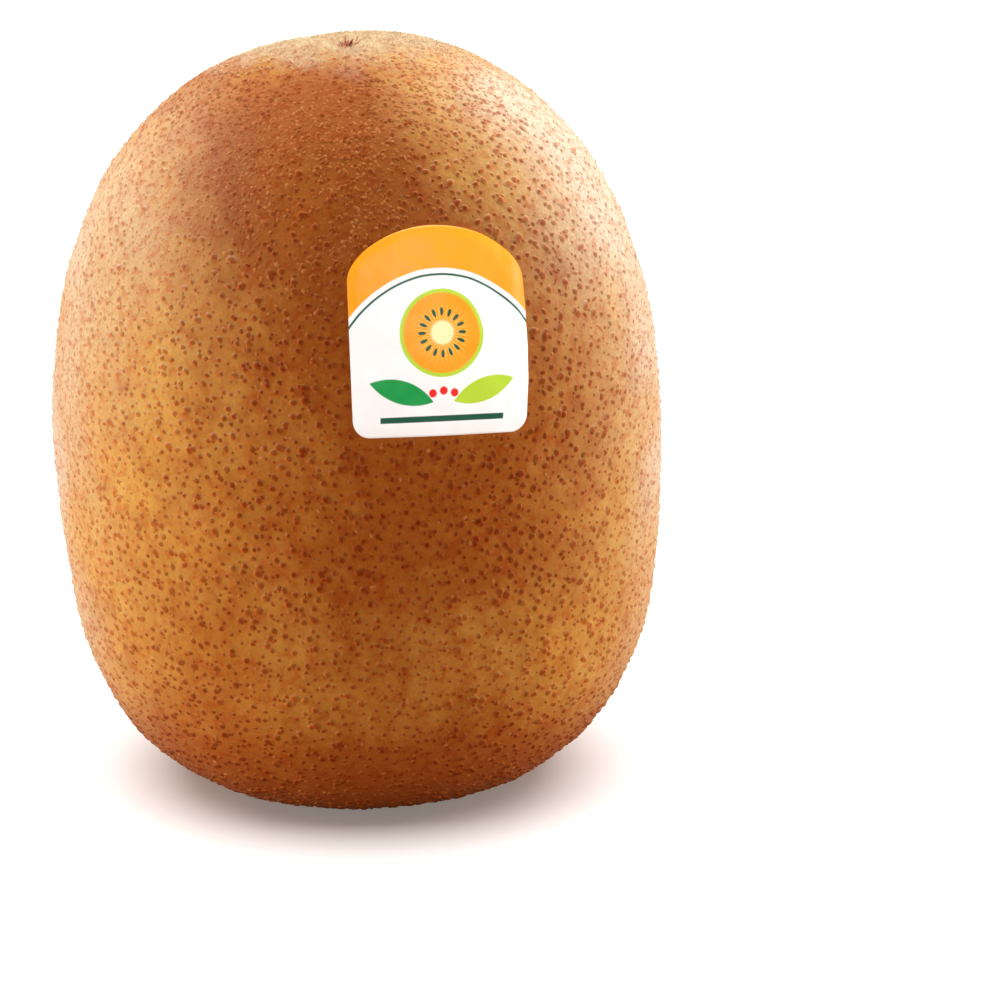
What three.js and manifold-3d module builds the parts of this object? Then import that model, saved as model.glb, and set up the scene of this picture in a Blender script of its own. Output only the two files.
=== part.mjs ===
// A whole golden kiwi fruit standing on its stem end, with a small film label on its front.
// Units are millimetres. +Z is up, the label side faces -Y and the rest spot lies on Z = 0.

import * as THREE from "three";
import { mergeVertices } from "three/addons/utils/BufferGeometryUtils.js";
import Module from "manifold-3d";

const { degToRad, smoothstep } = THREE.MathUtils;

// ---------------------------------------------------------------------------------------------
// Driving dimensions
// ---------------------------------------------------------------------------------------------

// Body: a rounded barrel. Seen from the side, its half outlines follow
// (across / half width)^n + (along / reach)^n = 1, with a rounder n above than below.
const FRUIT_WIDTH = 54.0; // along X
const FRUIT_DEPTH = 51.5; // along Y
const BLOSSOM_REACH = 34.4; // from the fruit's centre up to the blossom end
const STEM_REACH = 33.8; // from the fruit's centre down to the stem end
const BLOSSOM_EXPONENT = 2.27;
const STEM_EXPONENT = 3.15;
const CENTRE_HEIGHT = 33.45; // less than STEM_REACH, so the stem end is pressed flat by the rest
const LEAN = degToRad(1.6); // the blossom end tips towards -X

// Gentle swells and hollows of the body. Azimuth 0 is the front and 90 is +X, in degrees;
// rise is in millimetres and reach is the half angle over which a swell dies away.
const SWELLS = [
  { azimuth: -90, elevation: 0, rise: 0.37, reach: 14 },
  { azimuth: 150, elevation: 62, rise: 0.4, reach: 15 },
  { azimuth: -160, elevation: 68, rise: -0.5, reach: 10 },
  { azimuth: 90, elevation: -5, rise: 0.2, reach: 16 },
  { azimuth: -30, elevation: -60, rise: 0.26, reach: 16 },
  { azimuth: 35, elevation: -60, rise: 0.24, reach: 14 },
  { azimuth: 170, elevation: 5, rise: 0.35, reach: 22 },
  { azimuth: -135, elevation: -18, rise: -0.3, reach: 18 },
];

// Skin relief: raised papules, larger than life, on a jittered net of triangles.
const NET_DETAIL = 10; // divisions of each icosahedron edge, less one
const NET_JITTER = 0.16; // share of a net edge by which its corners wander
const PAPULE_SHARE = 0.47; // share of the net's triangles that carry a papule
const PAPULE_HALF_WIDTH = { least: 0.5, most: 0.85 };
const PAPULE_RISE = { least: 0.24, most: 0.42 };
const RELIEF_SEED = 41;

// Blossom end: a shallow cup in a low collar, with the dried styles standing in it.
const COLLAR_RISE = 0.3;
const COLLAR_RADIUS = 4.6;
const COLLAR_SPREAD = 2.0;
const CUP_RADIUS = 2.5;
const CUP_DEPTH = 0.55;
const STYLE_COUNT = 13;
const STYLE_LENGTH = { least: 1.0, most: 1.7 };
const STYLE_RADIUS = 0.36;
const STYLE_ROOT_DEPTH = 1.0;
const STYLE_SIDES = 5;
const STYLE_SEED = 7;

// Stem end: the round scar that the stalk leaves, with its short broken core.
const SCAR_RADIUS = 2.4;
const SCAR_DEPTH = 0.8;
const STALK_RADIUS = 0.9;
const STALK_CLEARANCE = 0.3; // how far the broken core stays above the ground
const DISH_SIDES = 16;

// Label: a bent film with an arched top and rounded lower corners.
const LABEL_WIDTH = 15.9;
const LABEL_HEIGHT = 17.9;
const LABEL_ARCH = 4.4; // rise of the arched top
const LABEL_CORNER = 1.45; // radius of the lower corners
const LABEL_THICKNESS = 0.3;
const LABEL_GAP = 0.12; // between the skin and the film
const LABEL_AZIMUTH = 18.2;
const LABEL_ELEVATION = 31.6;
const LABEL_ROLL = degToRad(-5.2);
const LABEL_COLUMNS = 14;
const LABEL_ROWS = 10;
const LABEL_CLEAR_MARGIN = 1.3; // bare skin around the label's outline

// ---------------------------------------------------------------------------------------------
// Small helpers
// ---------------------------------------------------------------------------------------------

// Seeded random numbers between 0 and 1.
function randomStream(seed) {
  let state = seed;
  return () => {
    state = (state + 0x6d2b79f5) | 0;
    let bits = Math.imul(state ^ (state >>> 15), 1 | state);
    bits = (bits + Math.imul(bits ^ (bits >>> 7), 61 | bits)) ^ bits;
    return ((bits ^ (bits >>> 14)) >>> 0) / 4294967296;
  };
}

function between(range, share) {
  return THREE.MathUtils.lerp(range.least, range.most, share);
}

// Unit vector for an azimuth from the front and an elevation, both in degrees.
function direction(azimuth, elevation) {
  const turn = degToRad(azimuth);
  const climb = degToRad(elevation);
  const flat = Math.cos(climb);
  return new THREE.Vector3(Math.sin(turn) * flat, -Math.cos(turn) * flat, Math.sin(climb));
}

// ---------------------------------------------------------------------------------------------
// The fruit's surface, as a function of direction from its centre
// ---------------------------------------------------------------------------------------------

const SWELL_FORMS = SWELLS.map(({ azimuth, elevation, rise, reach }) => ({
  centre: direction(azimuth, elevation),
  rise,
  spread: 0.5 * degToRad(reach) ** 2,
}));

const UP = new THREE.Vector3(0, 0, 1);

// Distance from the centre to the skin along a unit vector given in the fruit's own frame.
function reachAlong(unit) {
  const share = smoothstep(unit.z, -0.5, 0.5);
  const exponent = THREE.MathUtils.lerp(STEM_EXPONENT, BLOSSOM_EXPONENT, share);
  const end = unit.z > 0 ? BLOSSOM_REACH : STEM_REACH;
  const across = Math.hypot(unit.x / (FRUIT_WIDTH / 2), unit.y / (FRUIT_DEPTH / 2));
  const along = Math.abs(unit.z) / end;
  let reach = (across ** exponent + along ** exponent) ** (-1 / exponent);
  for (const swell of SWELL_FORMS) {
    reach += swell.rise * Math.exp((unit.dot(swell.centre) - 1) / swell.spread);
  }
  if (unit.z > 0) {
    const radius = reach * Math.hypot(unit.x, unit.y);
    reach += COLLAR_RISE * Math.exp(-(((radius - COLLAR_RADIUS) / COLLAR_SPREAD) ** 2));
  }
  return reach;
}

// From the fruit's own frame to the part's frame: lean it and lift it onto the ground.
function stand(point) {
  point.applyAxisAngle(new THREE.Vector3(0, 1, 0), -LEAN);
  point.z += CENTRE_HEIGHT;
  return point;
}

// The skin's point in a direction, raised by lift, and no lower than the ground.
function skinPoint(unit, lift = 0) {
  const point = stand(unit.clone().multiplyScalar(reachAlong(unit) + lift));
  point.z = Math.max(point.z, 0);
  return point;
}

// ---------------------------------------------------------------------------------------------
// The label's place on the skin
// ---------------------------------------------------------------------------------------------

// The tangent plane at the label's middle, in the fruit's own frame.
function labelPlane() {
  const unit = direction(LABEL_AZIMUTH, LABEL_ELEVATION);
  const side = new THREE.Vector3().crossVectors(UP, unit).normalize();
  const rise = new THREE.Vector3().crossVectors(unit, side);
  const at = (vector) => {
    const turned = vector.clone().normalize();
    return turned.multiplyScalar(reachAlong(turned));
  };
  const step = 1e-3;
  const slope = (vector) =>
    at(unit.clone().addScaledVector(vector, step)).sub(at(unit.clone().addScaledVector(vector, -step)));
  const across = slope(side).normalize();
  const normal = new THREE.Vector3().crossVectors(across, slope(rise)).normalize();
  const up = new THREE.Vector3().crossVectors(normal, across);
  return {
    middle: at(unit),
    normal,
    right: across.clone().applyAxisAngle(normal, LABEL_ROLL),
    up: up.clone().applyAxisAngle(normal, LABEL_ROLL),
  };
}

const PLANE = labelPlane();
const BEND = PLANE.middle.length(); // radius by which flat label sizes are wrapped

// Direction from the fruit's centre to the place on the skin that a flat label point covers.
function labelDirection(x, y) {
  return PLANE.middle
    .clone()
    .addScaledVector(PLANE.right, BEND * Math.tan(x / BEND))
    .addScaledVector(PLANE.up, BEND * Math.tan(y / BEND))
    .normalize();
}

// Whether a direction meets the skin under the label or close around it.
function isUnderLabel(unit) {
  const facing = unit.dot(PLANE.normal);
  if (facing <= 0) {
    return false;
  }
  const distance = PLANE.middle.dot(PLANE.normal) / facing;
  const offset = unit.clone().multiplyScalar(distance).sub(PLANE.middle);
  const x = BEND * Math.atan(offset.dot(PLANE.right) / BEND);
  const y = BEND * Math.atan(offset.dot(PLANE.up) / BEND);
  const inWidth = Math.abs(x) < LABEL_WIDTH / 2 + LABEL_CLEAR_MARGIN;
  return inWidth && Math.abs(y) < LABEL_HEIGHT / 2 + LABEL_CLEAR_MARGIN;
}

// ---------------------------------------------------------------------------------------------
// The fruit
// ---------------------------------------------------------------------------------------------

const wasm = await Module();
wasm.setup();

// A manifold solid from a closed three.js geometry.
function solidFrom(geometry) {
  const bare = geometry.clone();
  bare.deleteAttribute("normal");
  bare.deleteAttribute("uv");
  const merged = mergeVertices(bare, 1e-5);
  const mesh = new wasm.Mesh({
    numProp: 3,
    vertProperties: new Float32Array(merged.attributes.position.array),
    triVerts: new Uint32Array(merged.index.array),
  });
  return new wasm.Manifold(mesh);
}

// A three.js geometry from points and the triangles between them.
function geometryFrom(points, triangles) {
  const geometry = new THREE.BufferGeometry();
  geometry.setAttribute("position", new THREE.Float32BufferAttribute(points.flat(), 3));
  geometry.setIndex(triangles.flat());
  geometry.computeVertexNormals();
  return geometry;
}

// Unit vectors at the corners of the net, moved a little at random, and the net's triangles.
function skinNet(random) {
  const sphere = new THREE.IcosahedronGeometry(1, NET_DETAIL);
  sphere.deleteAttribute("normal");
  sphere.deleteAttribute("uv");
  const net = mergeVertices(sphere, 1e-5);
  const edge = Math.atan(2) / (NET_DETAIL + 1);
  const corners = [];
  for (let i = 0; i < net.attributes.position.count; i += 1) {
    const corner = new THREE.Vector3().fromBufferAttribute(net.attributes.position, i);
    const shift = new THREE.Vector3(random() - 0.5, random() - 0.5, random() - 0.5);
    corners.push(corner.addScaledVector(shift, 2 * NET_JITTER * edge).normalize());
  }
  const triangles = [];
  for (let i = 0; i < net.index.count; i += 3) {
    triangles.push([net.index.getX(i), net.index.getX(i + 1), net.index.getX(i + 2)]);
  }
  return { corners, triangles };
}

// Papules stay off the label's place, the pressed rest spot and the two ends.
function carriesPapule(unit) {
  const point = skinPoint(unit);
  const fromAxis = reachAlong(unit) * Math.hypot(unit.x, unit.y);
  return point.z > 0.6 && fromAxis > CUP_RADIUS + 1.5 && !isUnderLabel(unit);
}

// The skin with its relief: a papule is a three-sided point raised inside one net triangle.
function skinGeometry() {
  const random = randomStream(RELIEF_SEED);
  const { corners, triangles } = skinNet(random);
  const points = corners.map((unit) => skinPoint(unit).toArray());
  const faces = [];
  for (const [a, b, c] of triangles) {
    const wanted = random() < PAPULE_SHARE;
    const top = new THREE.Vector3();
    for (const corner of [a, b, c]) {
      top.addScaledVector(corners[corner], 0.7 + 0.6 * random());
    }
    top.normalize();
    const halfWidth = between(PAPULE_HALF_WIDTH, random());
    const rise = between(PAPULE_RISE, random());
    if (!wanted || !carriesPapule(top)) {
      faces.push([a, b, c]);
      continue;
    }
    const first = points.length;
    const angle = halfWidth / reachAlong(top);
    for (const corner of [a, b, c]) {
      const aside = corners[corner].clone().sub(top).setLength(angle);
      points.push(skinPoint(aside.add(top).normalize()).toArray());
    }
    points.push(skinPoint(top, rise).toArray());
    const [footA, footB, footC, tip] = [first, first + 1, first + 2, first + 3];
    faces.push([a, b, footB], [a, footB, footA]);
    faces.push([b, c, footC], [b, footC, footB]);
    faces.push([c, a, footA], [c, footA, footC]);
    faces.push([footA, footB, tip], [footB, footC, tip], [footC, footA, tip]);
  }
  return geometryFrom(points, faces);
}

// A solid of revolution about Z from [radius, height] pairs that start and end on the axis.
function turned(profile, sides) {
  const outline = profile.map(([radius, height]) => new THREE.Vector2(radius, height));
  const lathe = new THREE.LatheGeometry(outline, sides);
  lathe.rotateX(Math.PI / 2);
  return lathe;
}

// The cup at the blossom end, as the solid that is cut away.
function cupCutter() {
  const pole = reachAlong(UP);
  const cutter = turned(
    [
      [0, pole - CUP_DEPTH],
      [CUP_RADIUS * 0.55, pole - CUP_DEPTH * 0.8],
      [CUP_RADIUS, pole + 0.2],
      [CUP_RADIUS, pole + 2],
      [0, pole + 2],
    ],
    DISH_SIDES,
  );
  return cutter.rotateY(-LEAN).translate(0, 0, CENTRE_HEIGHT);
}

// The dried styles: tapered stubs fanned out of the cup.
function styles() {
  const random = randomStream(STYLE_SEED);
  const floor = reachAlong(UP) - CUP_DEPTH;
  const stubs = [];
  for (let i = 0; i < STYLE_COUNT; i += 1) {
    const share = i / (STYLE_COUNT - 1);
    const turn = i * 2.39996 + 0.5 * random();
    const length = between(STYLE_LENGTH, random());
    const spread = Math.sqrt(share);
    const whole = length + STYLE_ROOT_DEPTH;
    const stub = new THREE.CylinderGeometry(STYLE_RADIUS * 0.45, STYLE_RADIUS, whole, STYLE_SIDES);
    stub.rotateX(Math.PI / 2);
    stub.translate(0, 0, whole / 2 - STYLE_ROOT_DEPTH);
    stub.rotateZ(random() * Math.PI);
    stub.rotateY(degToRad(8 + 34 * spread));
    stub.translate(0.75 * spread, 0, floor);
    stub.rotateZ(turn);
    stubs.push(stub.rotateY(-LEAN).translate(0, 0, CENTRE_HEIGHT));
  }
  return stubs;
}

// The middle of the stem end on the ground.
const STEM_X = STEM_REACH * Math.sin(LEAN);

function scarCutter() {
  const cutter = turned(
    [
      [0, -1],
      [SCAR_RADIUS + 0.25, -1],
      [SCAR_RADIUS, 0.15],
      [SCAR_RADIUS * 0.75, SCAR_DEPTH],
      [0, SCAR_DEPTH],
    ],
    DISH_SIDES,
  );
  return cutter.translate(STEM_X, 0, 0);
}

function stalkCore() {
  const core = turned(
    [
      [0, STALK_CLEARANCE],
      [STALK_RADIUS * 0.7, STALK_CLEARANCE + 0.1],
      [STALK_RADIUS, SCAR_DEPTH],
      [STALK_RADIUS, SCAR_DEPTH + 1],
      [0, SCAR_DEPTH + 1],
    ],
    DISH_SIDES / 2,
  );
  return core.translate(STEM_X, 0, 0);
}

function fruitGeometry() {
  let solid = solidFrom(skinGeometry());
  solid = solid.subtract(solidFrom(cupCutter()));
  solid = solid.subtract(solidFrom(scarCutter()));
  solid = solid.add(solidFrom(stalkCore()));
  for (const stub of styles()) {
    solid = solid.add(solidFrom(stub));
  }
  const mesh = solid.getMesh();
  const geometry = new THREE.BufferGeometry();
  geometry.setAttribute("position", new THREE.BufferAttribute(mesh.vertProperties, 3));
  geometry.setIndex(new THREE.BufferAttribute(mesh.triVerts, 1));
  geometry.computeVertexNormals();
  return geometry;
}

// ---------------------------------------------------------------------------------------------
// The label
// ---------------------------------------------------------------------------------------------

// Lowest and highest flat y of the label's outline at a flat x.
function labelSpan(x) {
  const half = LABEL_WIDTH / 2;
  const intoCorner = Math.max(0, Math.abs(x) - (half - LABEL_CORNER));
  const cornerRise = LABEL_CORNER - Math.sqrt(Math.max(0, LABEL_CORNER ** 2 - intoCorner ** 2));
  const archShare = Math.sqrt(Math.max(0, 1 - (x / half) ** 2));
  const low = -LABEL_HEIGHT / 2 + cornerRise;
  const high = LABEL_HEIGHT / 2 - LABEL_ARCH * (1 - archShare);
  return { low, high };
}

// Two curved sheets, one on each face of the film, joined along the rim.
function labelGeometry() {
  const points = [];
  const rowLength = LABEL_ROWS + 1;
  const sheetSize = (LABEL_COLUMNS + 1) * rowLength;
  for (const lift of [LABEL_GAP, LABEL_GAP + LABEL_THICKNESS]) {
    for (let column = 0; column <= LABEL_COLUMNS; column += 1) {
      const x = (LABEL_WIDTH / 2) * Math.sin(Math.PI * (column / LABEL_COLUMNS - 0.5));
      const { low, high } = labelSpan(x);
      for (let row = 0; row <= LABEL_ROWS; row += 1) {
        const y = THREE.MathUtils.lerp(low, high, row / LABEL_ROWS);
        points.push(skinPoint(labelDirection(x, y), lift).toArray());
      }
    }
  }
  const inner = (column, row) => column * rowLength + row;
  const outer = (column, row) => sheetSize + inner(column, row);
  const faces = [];
  const quad = (a, b, c, d) => faces.push([a, b, c], [a, c, d]);
  for (let column = 0; column < LABEL_COLUMNS; column += 1) {
    for (let row = 0; row < LABEL_ROWS; row += 1) {
      quad(outer(column, row), outer(column + 1, row), outer(column + 1, row + 1), outer(column, row + 1));
      quad(inner(column, row), inner(column, row + 1), inner(column + 1, row + 1), inner(column + 1, row));
    }
    quad(inner(column, 0), inner(column + 1, 0), outer(column + 1, 0), outer(column, 0));
    quad(
      inner(column + 1, LABEL_ROWS),
      inner(column, LABEL_ROWS),
      outer(column, LABEL_ROWS),
      outer(column + 1, LABEL_ROWS),
    );
  }
  for (let row = 0; row < LABEL_ROWS; row += 1) {
    quad(inner(0, row + 1), inner(0, row), outer(0, row), outer(0, row + 1));
    quad(
      inner(LABEL_COLUMNS, row),
      inner(LABEL_COLUMNS, row + 1),
      outer(LABEL_COLUMNS, row + 1),
      outer(LABEL_COLUMNS, row),
    );
  }
  return geometryFrom(points, faces);
}

// ---------------------------------------------------------------------------------------------
// The assembled part
// ---------------------------------------------------------------------------------------------

const skinMaterial = new THREE.MeshStandardMaterial({
  color: 0xb9783f,
  roughness: 0.62,
  metalness: 0,
  flatShading: true,
});
const filmMaterial = new THREE.MeshStandardMaterial({
  color: 0xf3efe4,
  roughness: 0.38,
  metalness: 0,
});

const fruit = new THREE.Mesh(fruitGeometry(), skinMaterial);
fruit.name = "fruit";

const label = new THREE.Mesh(labelGeometry(), filmMaterial);
label.name = "label";

const part = new THREE.Group();
part.name = "golden_kiwi_fruit";
part.add(fruit, label);

export default part;
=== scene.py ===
"""The looks of a whole golden kiwi fruit that stands on its stem end, with a small bent label.

Laid out as a Blender add-on and run as a script: each operator makes one piece of the fruit, or
the stage round it. All sizes are in metres, in the frame of the packed part: +Z is up, the front
with the label faces -Y and the fruit stands on Z = 0.
"""

import math

import bpy
import numpy as np
from bpy.props import FloatProperty, FloatVectorProperty, IntProperty, PointerProperty
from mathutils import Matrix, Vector


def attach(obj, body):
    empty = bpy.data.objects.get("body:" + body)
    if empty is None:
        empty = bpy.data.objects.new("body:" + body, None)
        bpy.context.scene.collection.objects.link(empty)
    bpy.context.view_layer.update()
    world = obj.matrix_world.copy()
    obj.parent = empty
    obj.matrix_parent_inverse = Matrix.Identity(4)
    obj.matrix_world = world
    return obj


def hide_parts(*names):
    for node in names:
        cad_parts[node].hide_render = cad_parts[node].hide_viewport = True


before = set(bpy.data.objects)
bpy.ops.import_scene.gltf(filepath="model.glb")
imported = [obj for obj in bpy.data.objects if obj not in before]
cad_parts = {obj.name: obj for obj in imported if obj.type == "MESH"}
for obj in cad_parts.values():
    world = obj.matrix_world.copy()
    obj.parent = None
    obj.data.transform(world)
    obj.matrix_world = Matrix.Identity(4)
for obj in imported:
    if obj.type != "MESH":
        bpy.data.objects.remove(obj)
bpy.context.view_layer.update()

bl_info = {
    "name": "Golden Kiwi Fruit",
    "version": (1, 0, 0),
    "blender": (4, 5, 0),
    "location": "View3D > Sidebar > Kiwi",
    "description": "Makes a golden kiwi fruit with raised speckles, dried styles and a label",
    "category": "Object",
}

BODY = "root"
MM = 0.001
UP = np.array([0.0, 0.0, 1.0])


# --- Sizes and colours that a user would change ---


def length(name, description, default):
    """A length property, with its default given in millimetres."""
    return FloatProperty(name=name, description=description, default=default * MM, unit="LENGTH")


def share(name, description, default):
    """A number between nought and one."""
    return FloatProperty(name=name, description=description, default=default, min=0.0, max=1.0)


def count(name, description, default):
    """A whole number of small repeats."""
    return IntProperty(name=name, description=description, default=default, min=1)


def power(name, description, default):
    """How strong a light is."""
    return FloatProperty(name=name, description=description, default=default, min=0.0)


def colour(name, description, default):
    """A colour property, in linear light."""
    return FloatVectorProperty(
        name=name, description=description, default=default, subtype="COLOR", min=0.0, max=1.0
    )


class KiwiForm(bpy.types.PropertyGroup):
    """The fruit's body."""

    width: length("Width", "Size of the body from side to side", 54.0)
    depth: length("Depth", "Size of the body from front to back", 51.5)
    blossom_reach: length("Blossom reach", "From the fruit's centre up to the blossom end", 34.4)
    stem_reach: length("Stem reach", "From the fruit's centre down to the stem end", 33.8)
    centre_height: length("Centre height", "Height of the fruit's centre above the ground", 33.45)
    lean: FloatProperty(
        name="Lean",
        description="How far the blossom end tips towards -X",
        default=math.radians(1.6),
        subtype="ANGLE",
    )


class KiwiSkin(bpy.types.PropertyGroup):
    """Colours of the skin and of what grows on it."""

    gold: colour("Gold", "Clear skin between the speckles", (0.76, 0.410, 0.086))
    ochre: colour("Ochre", "Skin where the gold is deeper", (0.735, 0.355, 0.064))
    # The same brown also paints the shade down the front and at the stem end.
    russet: colour("Russet", "Skin browned by the sun and by rubbing", (0.455, 0.124, 0.016))
    # The pale colour of the cap's dusty skin, which also paints the sheen on the flanks and along
    # the top's rim.
    bloom: colour("Bloom", "Pale dusty skin on the cap and flanks", (0.845, 0.73, 0.57))
    speck: colour("Speck", "Stain of a papule's heart over clear skin", (0.80, 0.27, 0.13))
    # The darker stain follows the brown mask, so hearts are also darker in the painted shade down
    # the front.
    stain: colour("Stain", "Stain of a papule's heart over browned skin", (0.44, 0.075, 0.03))
    # The flake colour also paints the highlight on papules' upper rims on brown skin.
    flake: colour("Flake", "Flakes of scurf, and papules' rims on brown", (0.68, 0.255, 0.085))
    fuzz: colour("Fuzz", "The short hairs", (1.0, 0.72, 0.46))
    style: colour("Styles", "The dried styles at the blossom end", (0.19, 0.030, 0.020))
    bristle: colour("Bristles", "The paler bristles between them", (0.68, 0.23, 0.13))
    cork: colour("Cork", "The core of the stem scar", (0.16, 0.075, 0.035))


class KiwiPapules(bpy.types.PropertyGroup):
    """Numbers and height of the papules, flakes and hairs. Each number is what the whole skin
    would hold if it were everywhere at its densest."""

    papule_count: count("Papules", "Raised speckles of all sizes", 12400)
    paired: share("Paired", "Share of the papules that has a smaller one beside it", 0.16)
    large: share("Large ones", "Share of the papules that is large", 0.09)
    middle: share("Middle ones", "Share of the papules that is middle-sized", 0.46)
    rise: share("Rise", "Height of a papule as a share of its width", 0.21)
    flake_count: count("Flakes", "Small flakes of scurf", 60000)
    cap_hair_count: count("Cap hairs", "Short pale hairs round the blossom end", 190000)
    body_hair_count: count("Body hairs", "Finer hairs left on the rest of the skin", 9000)


class KiwiLabel(bpy.types.PropertyGroup):
    """The label's size and print."""

    width: length("Width", "Width of the film when flat", 15.9)
    height: length("Height", "Height of the film when flat", 17.9)
    white: colour("White", "Bare film", (0.90, 0.91, 0.92))
    gold: colour("Gold", "Band and slice", (0.90, 0.335, 0.003))
    green: colour("Green", "Leaf", (0.0, 0.30, 0.055))
    lime: colour("Lime", "Second leaf and the slice's rim", (0.46, 0.66, 0.035))
    dark: colour("Dark green", "Rule and seeds", (0.006, 0.085, 0.045))
    red: colour("Red", "Beads", (0.80, 0.012, 0.006))


class KiwiStage(bpy.types.PropertyGroup):
    """Brightness of the studio."""

    left: power("Left box", "Power of the left softbox", 4.4)
    right: power("Right box", "Power of the right softbox", 3.8)
    top: power("Top box", "Power of the softbox overhead", 3.95)
    floor: power("Floor box", "Power of the floor's softbox", 60.0)
    label: power("Label box", "Power of the label's softbox", 1.42)
    fill: power("Fill", "Strength of the light from all round", 0.185)


# --- The fruit's surface ---

BLOSSOM_EXPONENT = 2.27
STEM_EXPONENT = 3.15

# Gentle swells of the body: azimuth and elevation in degrees, rise in millimetres, reach in
# degrees.
SWELLS = (
    (-90, 0, 0.37, 14),
    (150, 62, 0.40, 15),
    (-160, 68, -0.50, 10),
    (90, -5, 0.20, 16),
    (-30, -60, 0.26, 16),
    (35, -60, 0.24, 14),
    (170, 5, 0.35, 22),
    (-135, -18, -0.30, 18),
)
# Low waves over the whole skin: height and length in millimetres, and seed.
DENTS = ((0.050, 9.0, 3), (0.022, 4.0, 4), (0.009, 1.6, 5))
WAVE_SPHERE = 30.0 * MM  # waves are read on a sphere of this radius, about the fruit's size
COLLAR_RISE = 0.12 * MM
COLLAR_RADIUS = 4.6 * MM
COLLAR_SPREAD = 2.2 * MM
COLLAR_TOWARDS = (0.85, 0.53)  # the side, in X and Y, where the collar is highest
CUP_RADIUS = 2.8 * MM
CUP_DEPTH = 0.22 * MM
SCAR_RADIUS = 2.45 * MM
SCAR_DEPTH = 0.80 * MM
TUFT_MIDDLE = (0.40 * MM, -1.05 * MM, 0.0)  # where the dried styles stand, off the fruit's axis
REST_CLEARANCE = 0.20 * MM  # papules keep this far above the ground
FRAME_STEP = 7e-4  # the small turn, in radians, over which the skin's slope is taken


def unit_vector(azimuth, elevation):
    """Direction for an azimuth from the front, +X at 90, and an elevation, in degrees."""
    turn, climb = np.radians(azimuth), np.radians(elevation)
    return np.stack(
        [np.sin(turn) * np.cos(climb), -np.cos(turn) * np.cos(climb), np.sin(climb)], axis=-1
    )


def azimuth_of(unit):
    """Azimuth of each direction from the front, in degrees."""
    return np.degrees(np.arctan2(unit[..., 0], -unit[..., 1]))


def elevation_of(unit):
    """Elevation of each direction, in degrees."""
    return np.degrees(np.arcsin(np.clip(unit[..., 2], -1.0, 1.0)))


def normalised(vectors):
    return vectors / np.linalg.norm(vectors, axis=-1, keepdims=True)


def smoothstep(low, high, values):
    ratio = np.clip((values - low) / (high - low), 0.0, 1.0)
    return ratio * ratio * (3.0 - 2.0 * ratio)


def cap(unit, azimuth, elevation, reach):
    """A soft round patch on the fruit: exp((cos of the angle from its middle - 1) / spread)."""
    spread = 0.5 * math.radians(reach) ** 2
    return np.exp((unit @ unit_vector(azimuth, elevation) - 1.0) / spread)


def waves(points, wavelength, seed, number=28):
    """Smooth random field of unit variance: a sum of plane waves of about one wavelength,
    sqrt(2 / number) * sum of cos(k . p + phase), with seeded directions and phases."""
    random = np.random.default_rng(seed)
    heading = normalised(random.normal(size=(number, 3)))
    size = 2.0 * math.pi / (wavelength * random.uniform(0.7, 1.45, number))
    phase = random.uniform(0.0, 2.0 * math.pi, number)
    total = np.zeros(points.shape[:-1])
    for one_heading, one_size, one_phase in zip(heading, size, phase):
        total += np.cos((points @ one_heading) * one_size + one_phase)
    return total * math.sqrt(2.0 / number)


def reach_along(unit, form):
    """Distance from the fruit's centre to its skin in a direction given in the fruit's own frame.

    It is (across^n + along^n)^(-1/n), where n goes smoothly from the stem half's to the rounder
    blossom half's, plus each swell's soft patch, the collar's ring exp(-((r - R) / spread)^2)
    round the blossom end, which fades out on one side, and the shallow cup inside that ring.
    """
    tall = unit[..., 2]
    half = smoothstep(-0.5, 0.5, tall)
    power = STEM_EXPONENT + (BLOSSOM_EXPONENT - STEM_EXPONENT) * half
    end = np.where(tall > 0, form.blossom_reach, form.stem_reach)
    across = np.hypot(unit[..., 0] / (form.width / 2), unit[..., 1] / (form.depth / 2))
    reach = (across**power + (np.abs(tall) / end) ** power) ** (-1.0 / power)
    for azimuth, elevation, rise, spread in SWELLS:
        reach = reach + rise * MM * cap(unit, azimuth, elevation, spread)
    radius = reach * np.hypot(unit[..., 0], unit[..., 1])
    sideways = unit[..., 0] * COLLAR_TOWARDS[0] + unit[..., 1] * COLLAR_TOWARDS[1]
    turned = sideways / np.maximum(np.hypot(unit[..., 0], unit[..., 1]), 1e-9)
    collar = COLLAR_RISE * np.exp(-(((radius - COLLAR_RADIUS) / COLLAR_SPREAD) ** 2))
    collar = collar * (0.5 + 0.5 * turned)
    cup = CUP_DEPTH * (1.0 - smoothstep(0.1 * CUP_RADIUS, CUP_RADIUS, radius))
    return reach + np.where(tall > 0, collar - cup, 0.0)


def dents(unit):
    """Low unevenness of the skin, in metres: the sum of the waves in the table of dents."""
    place = unit * WAVE_SPHERE
    return MM * sum(rise * waves(place, long * MM, seed) for rise, long, seed in DENTS)


def stand(points, form):
    """From the fruit's own frame to the part's: lean it about Y and lift it onto the ground."""
    cos, sin = math.cos(form.lean), math.sin(form.lean)
    x, y, z = points[..., 0], points[..., 1], points[..., 2]
    return np.stack([x * cos - z * sin, y, x * sin + z * cos + form.centre_height], axis=-1)


def skin_points(unit, form, lift=0.0):
    """Places on the skin in the part's frame, raised by lift. What would go below the ground is
    pressed flat on it, and the stem scar is a round hollow in that flat."""
    reach = reach_along(unit, form) + dents(unit) + lift
    points = stand(unit * reach[..., None], form)
    scar = np.hypot(points[..., 0] - form.stem_reach * math.sin(form.lean), points[..., 1])
    hollow = SCAR_DEPTH * (1.0 - smoothstep(0.62 * SCAR_RADIUS, SCAR_RADIUS, scar))
    points[..., 2] = np.maximum(points[..., 2], 0.0) + np.where(unit[..., 2] < 0, hollow, 0.0)
    return points


def tangents(unit):
    """Two unit vectors square to each direction and to each other."""
    side = normalised(np.cross(UP + 1e-9, unit))
    return side, np.cross(unit, side)


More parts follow.
